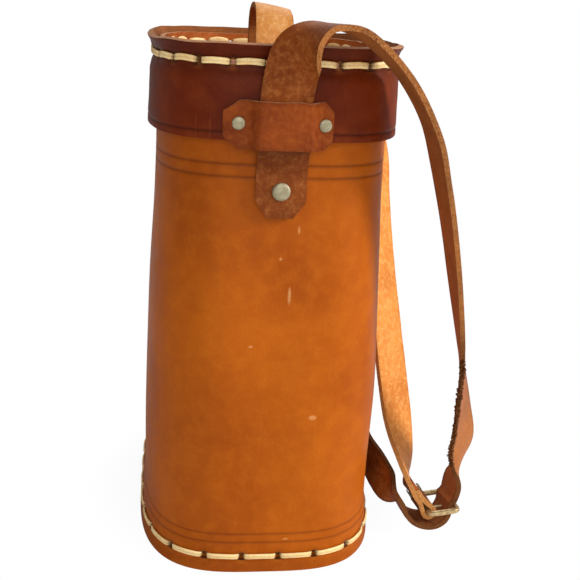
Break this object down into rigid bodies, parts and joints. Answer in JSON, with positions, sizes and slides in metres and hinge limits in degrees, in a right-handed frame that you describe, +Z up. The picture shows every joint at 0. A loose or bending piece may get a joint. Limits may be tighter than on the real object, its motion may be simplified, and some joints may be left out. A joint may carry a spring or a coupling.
{
  "type": "laced leather carrying case",
  "caption": "Tall laced leather case with a lift-off lid, a riveted top handle and a buckled shoulder strap that hangs beside it.",
  "frame": {"origin": "on the floor, at the middle of the base plate's underside", "axes": "+Z up; -Y towards the narrow end with the front strap; +X towards the laced side seam, the side where the shoulder strap hangs"},
  "size_m": [0.2267, 0.2411, 0.337],
  "materials": {
    "tan_leather": "smooth, satin",
    "lid_leather": "smooth, satin",
    "strap_leather": "worn, crackled",
    "cream_lace": "raw hide, matt",
    "antique_brass": "aged, satin"
  },
  "bodies": {
    "body": {"body_wall": "tan_leather", "base_plate": "tan_leather", "base_lace": "cream_lace", "body_seam_lace": "cream_lace", "front_strap_rivet": "antique_brass", "front_strap_rivet_cap": "antique_brass", "rear_strap_rivet": "antique_brass", "rear_strap_rivet_cap": "antique_brass"},
    "lid": {"lid_skirt": "lid_leather", "lid_top": "lid_leather", "lid_lace": "cream_lace", "front_keeper": "strap_leather", "rear_keeper": "strap_leather", "front_keeper_left_rivet": "antique_brass", "front_keeper_left_rivet_cap": "antique_brass", "front_keeper_right_rivet": "antique_brass", "front_keeper_right_rivet_cap": "antique_brass", "rear_keeper_left_rivet": "antique_brass", "rear_keeper_left_rivet_cap": "antique_brass", "rear_keeper_right_rivet": "antique_brass", "rear_keeper_right_rivet_cap": "antique_brass", "handle_front_rivet": "antique_brass", "handle_front_rivet_cap": "antique_brass", "handle_rear_rivet": "antique_brass", "handle_rear_rivet_cap": "antique_brass", "handle_strap": "strap_leather"},
    "shoulder_strap": {"front_strap": "strap_leather", "rear_strap": "strap_leather", "fold_rivet": "antique_brass", "fold_rivet_cap": "antique_brass"},
    "buckle": {"buckle_frame": "antique_brass"},
    "prong": {"buckle_prong": "antique_brass"}
  },
  "joints": [
    {"name": "lid_lift", "type": "slide", "parent": "body", "child": "lid", "axis": [0, 0, 1], "range_m": [0, 0.11], "deforming": ["front_strap", "rear_strap"]},
    {"name": "strap_swing", "type": "hinge", "parent": "lid", "child": "shoulder_strap", "pos_m": [0, 0, 0.322], "axis": [0, -1, 0], "range_deg": [0, 150], "deforming": ["front_strap", "rear_strap"]},
    {"name": "buckle_swing", "type": "hinge", "parent": "shoulder_strap", "child": "buckle", "pos_m": [0.114, -0.06, 0.0155], "axis": [-0.0292, -0.9776, 0.2085], "range_deg": [0, 20]},
    {"name": "prong_swing", "type": "hinge", "parent": "buckle", "child": "prong", "pos_m": [0.114, -0.06, 0.0155], "axis": [0.0292, 0.9776, -0.2085], "range_deg": [0, 70]}
  ]
}
